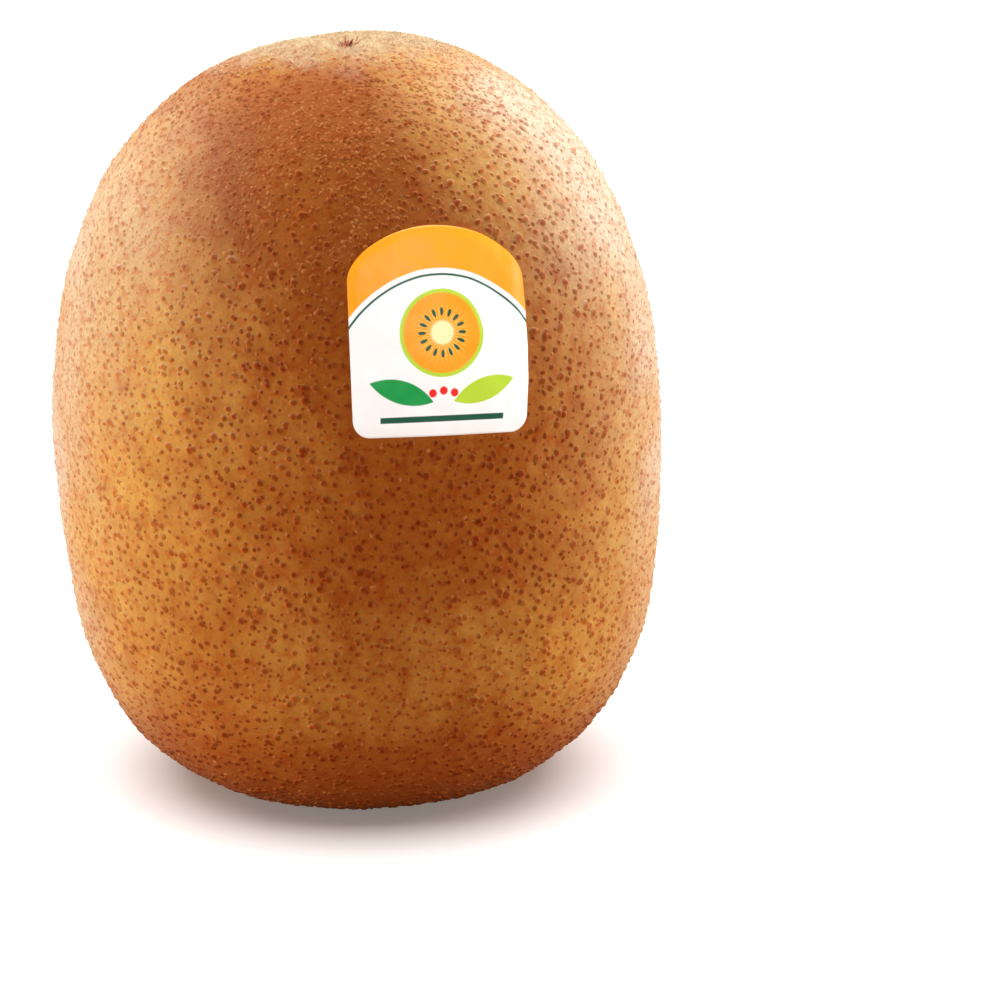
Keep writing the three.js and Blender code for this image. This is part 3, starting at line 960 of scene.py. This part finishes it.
class KIWI_OT_papules(bpy.types.Operator):
    """Strew the raised speckles evenly over the skin, in three sizes"""

    bl_idname = "kiwi.papules"
    bl_label = "Papules"

    def execute(self, context):
        scene = context.scene
        look = scene.kiwi_papules
        number, form = look.papule_count, scene.kiwi_form
        unit = spread_directions(number, form, papule_density, seed=21, jitter=0.24)
        random = np.random.default_rng(20)
        unit = random.permutation(unit)
        cuts = np.array([look.large, look.large + look.middle]) * len(unit)
        large, middle, small = np.split(unit, cuts.astype(int))
        paired = unit[: int(look.paired * len(unit))]
        aside = random.normal(size=paired.shape)
        aside = normalised(aside - np.sum(aside * paired, axis=-1, keepdims=True) * paired)
        small = np.concatenate([small, normalised(paired + PAIR_GAP * aside)])
        # Radii from and to in millimetres, rings as shares of the radius, sides and seed.
        three, two = (0.48, 0.80, 1.07), (0.55, 1.07)
        strew("papules_large", large, (0.33, 0.43), three, 8, 22, scene)
        strew("papules_middle", middle, (0.23, 0.33), three, 6, 23, scene)
        strew("papules_small", small, (0.15, 0.23), two, 6, 24, scene, heart=0.75)
        return {"FINISHED"}


class KIWI_OT_scurf(bpy.types.Operator):
    """Crowd the browned shoulders with small pale and red flakes"""

    bl_idname = "kiwi.scurf"
    bl_label = "Scurf"

    def execute(self, context):
        scene = context.scene
        number, form = scene.kiwi_papules.flake_count, scene.kiwi_form
        unit = spread_directions(number, form, scurf_density, seed=25, jitter=0.35)
        # A tone above one is as pale as one, so a sixth of the flakes is palest.
        look = {"tones": (0.0, 1.2), "longer": (1.0, 0.15), "heart": 0.9, "depth": 0.9}
        strew("scurf", unit, (0.13, 0.24), (0.6, 1.1), 5, 26, scene, hidden=0.0, **look)
        return {"FINISHED"}


# --- Fuzz, dried styles and stem scar ---

HAIR_SINK = 0.02 * MM  # how far a hair's root goes under the skin
HAIR_CLEAR = 0.25 * MM  # how far hairs keep from the label
BODY_HAIR_SHADE = 0.55  # how dark the body's hairs are beside the cap's
STYLE_SINK = 0.10 * MM
SCAR_RINGS = 26
SCAR_SIDES = 72
GOLDEN_ANGLE = 2.39996  # radians


def plain_material(name, tint, roughness, noise_scale, spread):
    """One colour lightened and darkened by noise of a given scale."""
    material, nodes = new_material(name)
    pattern = nodes.noise(nodes.object_place(), noise_scale, 3.0)
    dark = tuple(channel * (1.0 - spread) for channel in tint)
    light = tuple(min(1.0, channel * (1.0 + spread)) for channel in tint)
    nodes.principled(
        Base_Color=nodes.mix(nodes.ramp(pattern, 0.35, 0.65), dark, light),
        Roughness=roughness,
        Normal=nodes.bump(0.5, 0.05 * MM, pattern),
        Specular_IOR_Level=0.15,
    )
    return material


def spikes(roots, headings, bends, lengths, widths, steps, sides=3):
    """Tapered hairs as closed-sided cones, open only at the sunk root.

    A hair's middle line at a share t of its length is root + L * (t * heading + t^2 * bend), and
    its half width there is w * (1 - t^2), so it ends in a point.
    """
    side, rise = tangents(headings)
    turn = np.arange(sides)[:, None] * 2.0 * math.pi / sides
    around = side[:, None] * np.cos(turn) + rise[:, None] * np.sin(turn)
    column, following = round_pairs(sides)
    rings, faces = [], []
    for step in range(steps):
        t = step / steps
        middle = roots + lengths[:, None] * (t * headings + t * t * bends)
        rings.append(middle[:, None] + around * (widths * (1.0 - t * t))[:, None, None])
        low, high = step * sides, (step + 1) * sides
        if step < steps - 1:
            faces.append(np.stack([low + column, low + following, high + following], axis=-1))
            faces.append(np.stack([low + column, high + following, high + column], axis=-1))
        else:
            faces.append(np.stack([low + column, low + following, np.full(sides, high)], axis=-1))
    tip = roots + lengths[:, None] * (headings + bends)
    points = np.concatenate([*rings, tip[:, None]], axis=1)
    shift = (np.arange(len(roots)) * points.shape[1])[:, None, None]
    return points.reshape(-1, 3), (np.concatenate(faces)[None] + shift).reshape(-1, 3)


def fuzz(name, number, density, rises, lengths, widths, tint, seed, scene):
    """Short curved hairs that lie over to all sides, thick where density is high."""
    form = scene.kiwi_form
    random = np.random.default_rng(seed)
    unit = spread_directions(number, form, density, seed, jitter=0.5)
    frames = skin_frames(unit, form)
    kept = (frames[0][:, 2] > REST_CLEARANCE) & clear_of_label(unit, HAIR_CLEAR, scene)
    place, right, up, normal = (vectors[kept] for vectors in frames)
    total = len(place)
    turn = random.uniform(0.0, 2.0 * math.pi, total)[:, None]
    lying = np.cos(turn) * right + np.sin(turn) * up
    heading = normalised(lying + normal * random.uniform(*rises, total)[:, None])
    curl = np.cross(normal, lying) * random.normal(0.0, 0.80, total)[:, None]
    reach = random.uniform(*lengths, total) * MM
    width = random.uniform(*widths, total) * MM
    bend = curl - 0.25 * normal
    points, faces = spikes(place - normal * HAIR_SINK, heading, bend, reach, width, steps=2)
    piece = mesh_object(name, points, faces)
    piece.data.materials.append(plain_material(f"kiwi_{name}", tint, 0.5, 700.0, 0.25))
    belongs(piece, "skin")


def body_density(unit):
    """Thin hair is left in a few places over the rest of the body."""
    return np.clip(patches(unit, HAIR_PATCHES), 0.0, 1.0)


class KIWI_OT_fuzz(bpy.types.Operator):
    """Grow the short pale hairs on the cap and, thinly, the finer ones on the body"""

    bl_idname = "kiwi.fuzz"
    bl_label = "Fuzz"

    def execute(self, context):
        scene = context.scene
        look = scene.kiwi_papules
        tint = tuple(scene.kiwi_skin.fuzz)
        # How steeply they rise, then their lengths and half widths in millimetres.
        sizes = (0.5, 1.8), (0.28, 0.62), (0.022, 0.036)
        fuzz("cap_fuzz", look.cap_hair_count, pale_cap, *sizes, tint, 51, scene)
        tint = tuple(BODY_HAIR_SHADE * channel for channel in tint)
        sizes = (0.2, 0.6), (0.35, 0.70), (0.016, 0.026)
        fuzz("body_fuzz", look.body_hair_count, body_density, *sizes, tint, 52, scene)
        return {"FINISHED"}


def tuft(name, number, spread, tilts, lengths, widths, tint, random, form):
    """Bent tapered fibres that fan out from a small round patch of the cup's floor."""
    ratio = np.sqrt((np.arange(number) + 0.5) / number)
    turn = np.arange(number) * GOLDEN_ANGLE + random.uniform(-0.4, 0.4, number)
    outward = np.stack([np.cos(turn), np.sin(turn), np.zeros(number)], axis=-1)
    floor = form.blossom_reach - CUP_DEPTH - STYLE_SINK
    root = outward * (ratio * spread * MM)[:, None] + UP * floor + TUFT_MIDDLE
    tilt = np.radians(tilts[0] + (tilts[1] - tilts[0]) * ratio)
    tilt = tilt + np.radians(random.normal(0.0, 9.0, number))
    heading = outward * np.sin(tilt)[:, None] + UP * np.cos(tilt)[:, None]
    bend = random.normal(0.0, 0.25, (number, 3)) + 0.15 * UP
    reach = random.uniform(*lengths, number) * MM
    width = random.uniform(*widths, number) * MM
    points, faces = spikes(root, heading, bend, reach, width, steps=4, sides=5)
    piece = mesh_object(f"blossom_{name}", stand(points, form), faces)
    piece.data.materials.append(plain_material(f"kiwi_{name}", tint, 0.6, 1800.0, 0.45))
    belongs(piece, "skin")


class KIWI_OT_styles(bpy.types.Operator):
    """Make the dried styles and bristles that stand in the cup at the blossom end"""

    bl_idname = "kiwi.styles"
    bl_label = "Dried styles"

    def execute(self, context):
        form, look = context.scene.kiwi_form, context.scene.kiwi_skin
        random = np.random.default_rng(61)
        # Their tilts in degrees, then their lengths and half widths in millimetres.
        sizes = (0, 75), (0.40, 0.80), (0.11, 0.17)
        tuft("styles", 15, 0.34, *sizes, tuple(look.style), random, form)
        sizes = (5, 80), (0.60, 1.10), (0.08, 0.12)
        tuft("bristles", 26, 0.46, *sizes, tuple(look.bristle), random, form)
        return {"FINISHED"}


class KIWI_OT_scar(bpy.types.Operator):
    """Make the corky core that the broken stalk leaves in the stem scar"""

    bl_idname = "kiwi.scar"
    bl_label = "Stem scar"

    def execute(self, context):
        form = context.scene.kiwi_form
        ratio = np.linspace(0.0, 1.0, SCAR_RINGS + 1)[1:, None]
        turn = (np.arange(SCAR_SIDES) * 2.0 * math.pi / SCAR_SIDES)[None, :]
        # Height above the ground of the core's face: a low hub that dips to a fibrous ring.
        fibres = 0.045 * np.sin(turn * 23.0 + 2.0 * np.sin(3.0 * turn)) * np.sin(math.pi * ratio)
        hub = 0.34 * np.exp(-((ratio / 0.36) ** 2))
        hub = hub + 0.10 * np.exp(-(((ratio - 0.72) / 0.12) ** 2))
        radius = 2.3 * MM * ratio * (1.0 + 0.02 * np.sin(5.0 * turn))
        height = SCAR_DEPTH - MM * (hub + fibres) * np.ones_like(turn)
        height = height + MM * 0.25 * smoothstep(0.93, 1.0, ratio)
        points = np.stack([radius * np.cos(turn), radius * np.sin(turn), height], axis=-1)
        points = np.concatenate([points.reshape(-1, 3), [[0.0, 0.0, SCAR_DEPTH - 0.44 * MM]]])
        points = points + [form.stem_reach * math.sin(form.lean), 0.0, 0.0]
        column, following = round_pairs(SCAR_SIDES)
        quads = grid_faces(SCAR_RINGS, SCAR_SIDES, closed=True)[:, ::-1]
        middle = fan(SCAR_RINGS * SCAR_SIDES, following, column)
        piece = mesh_object("stem_scar", points, [quads, middle])
        tint = tuple(context.scene.kiwi_skin.cork)
        piece.data.materials.append(plain_material("kiwi_cork", tint, 0.85, 1400.0, 0.55))
        belongs(piece, "skin")
        return {"FINISHED"}


# --- The label ---

LABEL_COLUMNS = 72
LABEL_ROWS = 84
PRINT_SIZE = 20.0  # millimetres of flat film across the print's map
BAND_REACHES = (10.6, 10.15, 9.95)  # radii of the band's edge, and of its line's two edges
SLICE_MIDDLE = (0.0, -0.5)
SLICE_RADIUS = 3.7


def disc(nodes, x, y, centre_x, centre_y, radius, soft=0.05):
    """One inside a circle on the label and nought outside, with an edge as wide as soft."""
    return nodes.ramp(nodes.hypot(x - centre_x, y - centre_y), radius + soft, radius - soft)


def leaf(nodes, x, y, base, tip, belly):
    """The lens where two circles through a leaf's base and tip cross. belly is its half width."""
    half = math.dist(base, tip) / 2
    radius = (half**2 + belly**2) / (2 * belly)
    square = ((tip[1] - base[1]) / (2 * half), (base[0] - tip[0]) / (2 * half))
    first, other = (
        disc(nodes, x, y, *((base[i] + tip[i]) / 2 + square[i] * back for i in (0, 1)), radius)
        for back in (radius - belly, belly - radius)
    )
    return first * other


def label_material(label):
    """Printed film: an arched gold band, a fruit slice, two leaves and three beads on white.

    All places are in millimetres on the flat film, read from its own map.
    """
    material, nodes = new_material("label_print")
    mix, ramp = nodes.mix, nodes.ramp
    place = nodes.add("ShaderNodeUVMap", uv_map="print")
    split = nodes.tree.nodes.new("ShaderNodeSeparateXYZ")
    nodes.put(split.inputs[0], place)
    x, y = (
        nodes.math("MULTIPLY_ADD", Value(nodes, split.outputs[axis]), PRINT_SIZE, -PRINT_SIZE / 2)
        for axis in (0, 1)
    )
    tints = (label.white, label.gold, label.green, label.lime, label.dark, label.red)
    white, gold, green, lime, dark, red = (tuple(tint) for tint in tints)

    # The band's lower edge is a wide arc that follows the film's arched top.
    outside, line, inner = (1.0 - disc(nodes, x, y, 0.0, -5.6, reach) for reach in BAND_REACHES)
    colour = mix(outside, mix(inner - line, white, dark), gold)

    # A slice of the fruit: rim, flesh with fine rays, pale heart and a ring of seeds.
    across, along = x - SLICE_MIDDLE[0], y - SLICE_MIDDLE[1]
    radius = nodes.hypot(across, along)
    turn = nodes.math("ARCTAN2", along, across)
    rays = ramp(nodes.math("SINE", turn * 34.0), -0.2, 1.0) * ramp(radius, 1.0, 2.9, 0.55, 0.0)
    flesh = mix(rays, gold, (1.0, 0.78, 0.22))
    flesh = mix(ramp(radius, 1.15, 0.85), flesh, (1.0, 0.86, 0.45))
    seed_turn = nodes.math("WRAP", turn * (16.0 / (2.0 * math.pi)), 0.5, -0.5)
    seed_reach = nodes.hypot(seed_turn * 1.9, (radius - 1.75) * 1.1)
    flesh = mix(ramp(seed_reach, 0.44, 0.34), flesh, dark)
    colour = mix(ramp(radius, SLICE_RADIUS + 0.05, SLICE_RADIUS - 0.05), colour, lime)
    colour = mix(ramp(radius, SLICE_RADIUS - 0.28, SLICE_RADIUS - 0.38), colour, flesh)

    # Two leaves spread below the slice, three beads between them, and a rule along the foot.
    for side, tint in ((-1, green), (1, lime)):
        lens = leaf(nodes, x, y, (0.9 * side, -6.2), (6.4 * side, -4.4), 0.95)
        colour = mix(lens, colour, tint)
    for bead in (-0.95, 0.0, 0.95):
        colour = mix(disc(nodes, x, y, bead, -5.3 - abs(bead) * 0.2, 0.34), colour, red)
    rule = ramp(nodes.math("ABSOLUTE", y + 7.55), 0.27, 0.21)
    colour = mix(rule * ramp(nodes.math("ABSOLUTE", x), 5.6, 5.5), colour, dark)

    tooth = nodes.noise(nodes.object_place(), 2600.0, 2.0)
    nodes.principled(
        Base_Color=colour,
        Roughness=ramp(tooth, 0.3, 0.7, 0.36, 0.46),
        Normal=nodes.bump(0.15, 0.02 * MM, tooth),
        Specular_IOR_Level=0.30,
    )
    return material


class KIWI_OT_label(bpy.types.Operator):
    """Wrap the thin printed film round the front of the fruit"""

    bl_idname = "kiwi.label"
    bl_label = "Label"

    def execute(self, context):
        form, label = context.scene.kiwi_form, context.scene.kiwi_label
        columns, rows = LABEL_COLUMNS + 1, LABEL_ROWS + 1
        turn = np.linspace(-math.pi / 2, math.pi / 2, columns)
        x = np.repeat((label.width / 2 * np.sin(turn))[:, None], rows, axis=1)
        low, high = label_span(x, label)
        y = low + (high - low) * np.linspace(0.0, 1.0, rows)[None, :]
        unit = label_directions(x, y, form)
        # The film rides a little off the skin, and its rim is pressed down.
        inside = np.minimum(label.width / 2 - np.abs(x), np.minimum(y - low, high - y))
        press = smoothstep(0.0, LABEL_PRESS, inside)
        swell = 0.018 * MM * waves(unit * WAVE_SPHERE, 2.4 * MM, 71)
        gap = LABEL_RIM_GAP + press * (LABEL_GAP - LABEL_RIM_GAP + swell)
        lifts = (gap, gap + LABEL_THICKNESS)
        sheets = np.concatenate([skin_points(unit, form, lift).reshape(-1, 3) for lift in lifts])
        quads = grid_faces(columns, rows, closed=False)
        size = columns * rows
        index = np.arange(size).reshape(columns, rows)
        rim = np.concatenate([index[:, 0], index[-1, 1:], index[-2::-1, -1], index[0, -2:0:-1]])
        following = np.roll(rim, -1)
        wall = np.stack([rim, following, following + size, rim + size], axis=-1)
        piece = mesh_object("label_film", sheets, [quads, quads[:, ::-1] + size, wall])
        flat = np.stack([x, y], axis=-1).reshape(-1, 2) / (PRINT_SIZE * MM) + 0.5
        set_map(piece, "print", np.concatenate([flat, flat]))
        piece.data.materials.append(label_material(label))
        belongs(piece, "film", "label")
        return {"FINISHED"}


# --- The stage ---

FRAME_SIZE = 1000.0  # picture width and height in pixels
FOCAL_PIXELS = 4997.6
VIEW_ELEVATION = math.radians(17.5)
VIEW_DISTANCE = 0.45
FRUIT_PIXEL = (359.1, 414.6)  # where the fruit's centre lies in the picture
SENSOR = 36.0
FLOOR_HALF = 3.0


def softbox(name, azimuth, elevation, distance, size, power, target, lit):
    """An area light on a sphere round the target, turned to face it, that lights the named pieces
    alone."""
    data = bpy.data.lights.new(name, "AREA")
    data.shape = "RECTANGLE"
    data.size, data.size_y = size
    data.energy = power
    light = bpy.data.objects.new(name, data)
    away = Vector(unit_vector(azimuth, elevation))
    light.location = Vector(target) + away * distance
    light.rotation_euler = away.to_track_quat("Z", "Y").to_euler()
    light.visible_camera = False
    bpy.context.scene.collection.objects.link(light)
    receivers = bpy.data.collections.new(f"{name}_lit")
    for piece in lit:
        receivers.objects.link(bpy.data.objects[piece])
    light.light_linking.receiver_collection = receivers


def stage_floor():
    """A wide pale floor. The camera sees it brighter than its bounce lights the fruit, with a
    faint glow of its own that keeps the shadow soft."""
    corners = FLOOR_HALF * np.array([[-1, -1, 0], [1, -1, 0], [1, 1, 0], [-1, 1, 0]])
    floor = mesh_object("floor", corners, np.array([[0, 1, 2, 3]]), smooth=False)
    material, nodes = new_material("floor_paper")
    seen = nodes.camera_ray()
    paper = nodes.mix(seen, (0.36, 0.25, 0.18), (0.86, 0.84, 0.83))
    glow = nodes.mix(seen, (0.0, 0.0, 0.0), (0.22, 0.19, 0.17))
    matt = nodes.add("ShaderNodeBsdfDiffuse", {"Color": paper})
    lit = nodes.add("ShaderNodeEmission", {"Color": glow})
    nodes.surface(nodes.add("ShaderNodeAddShader", {0: matt, 1: lit}))
    floor.data.materials.append(material)


def stage_world(scene, fill):
    """White light from all round, dimmer than the white that the camera sees."""
    world = bpy.data.worlds.new("studio")
    world.use_nodes = True
    world.node_tree.nodes.clear()
    nodes = Nodes(world.node_tree)
    strength = nodes.ramp(nodes.camera_ray(), 0.0, 1.0, fill, 1.0)
    inputs = {"Color": (1.0, 1.0, 1.0), "Strength": strength}
    nodes.surface(nodes.add("ShaderNodeBackground", inputs), "ShaderNodeOutputWorld")
    scene.world = world


def stage_camera(scene, target):
    """A long lens that looks down on the fruit, aimed so that the fruit's centre lies left of and
    above the middle of the picture, with no lens shift."""
    data = bpy.data.cameras.new("camera")
    data.sensor_width = SENSOR
    data.lens = FOCAL_PIXELS / FRAME_SIZE * SENSOR
    data.clip_start = 0.01
    data.clip_end = 20.0
    camera = bpy.data.objects.new("camera", data)
    scene.collection.objects.link(camera)
    back = Vector((0.0, -math.cos(VIEW_ELEVATION), math.sin(VIEW_ELEVATION)))
    camera.location = Vector(target) + back * VIEW_DISTANCE
    right = Vector((1.0, 0.0, 0.0))
    up = back.cross(right)
    aside = (FRAME_SIZE / 2 - FRUIT_PIXEL[0]) / FOCAL_PIXELS
    down = (FRAME_SIZE / 2 - FRUIT_PIXEL[1]) / FOCAL_PIXELS
    aim = -back + right * aside - up * down
    camera.rotation_euler = aim.to_track_quat("-Z", "Y").to_euler()
    scene.camera = camera


class KIWI_OT_stage(bpy.types.Operator):
    """Set up the pale floor, the softboxes and the camera"""

    bl_idname = "kiwi.stage"
    bl_label = "Stage"

    def execute(self, context):
        scene = context.scene
        power = scene.kiwi_stage
        target = (0.0, 0.0, scene.kiwi_form.centre_height)
        fruit = [piece.name for piece in scene.objects if piece.type == "MESH"]
        stage_floor()
        # Each softbox: azimuth, elevation, distance, width and height, power, and what it lights.
        boxes = {
            "left_box": (-78, 5, 0.60, (0.50, 0.40), power.left, fruit),
            "right_box": (92, 8, 0.60, (0.50, 0.40), power.right, fruit),
            "top_box": (165, 66, 0.60, (0.45, 0.35), power.top, fruit),
            "floor_box": (0, 90, 1.2, (2.4, 2.4), power.floor, ["floor"]),
            "label_box": (18, 30, 0.5, (0.3, 0.3), power.label, ["label_film"]),
        }
        for name, (*place, lit) in boxes.items():
            softbox(name, *place, target, lit)
        stage_world(scene, power.fill)
        stage_camera(scene, target)
        scene.view_settings.view_transform = "Standard"
        return {"FINISHED"}


# --- Panel and run ---

OPERATORS = (
    KIWI_OT_skin,
    KIWI_OT_papules,
    KIWI_OT_scurf,
    KIWI_OT_fuzz,
    KIWI_OT_styles,
    KIWI_OT_scar,
    KIWI_OT_label,
    KIWI_OT_stage,
)
GROUPS = {
    "kiwi_form": KiwiForm,
    "kiwi_skin": KiwiSkin,
    "kiwi_papules": KiwiPapules,
    "kiwi_label": KiwiLabel,
    "kiwi_stage": KiwiStage,
}


class KIWI_PT_panel(bpy.types.Panel):
    """Lists the fruit's pieces and their sizes and colours"""

    bl_idname = "KIWI_PT_panel"
    bl_label = "Golden Kiwi Fruit"
    bl_space_type = "VIEW_3D"
    bl_region_type = "UI"
    bl_category = "Kiwi"

    def draw(self, context):
        for operator in OPERATORS:
            self.layout.operator(operator.bl_idname)
        for name, group in GROUPS.items():
            box = self.layout.box()
            box.label(text=group.__doc__)
            for key in group.__annotations__:
                box.prop(getattr(context.scene, name), key)


def register():
    for group in GROUPS.values():
        bpy.utils.register_class(group)
    for name, group in GROUPS.items():
        setattr(bpy.types.Scene, name, PointerProperty(type=group))
    for made in (*OPERATORS, KIWI_PT_panel):
        bpy.utils.register_class(made)


def unregister():
    for made in reversed((*OPERATORS, KIWI_PT_panel)):
        bpy.utils.unregister_class(made)
    for name in GROUPS:
        delattr(bpy.types.Scene, name)
    for group in reversed(GROUPS.values()):
        bpy.utils.unregister_class(group)


def main():
    register()
    for operator in OPERATORS:
        family, name = operator.bl_idname.split(".")
        getattr(getattr(bpy.ops, family), name)()


if __name__ == "__main__":
    main()
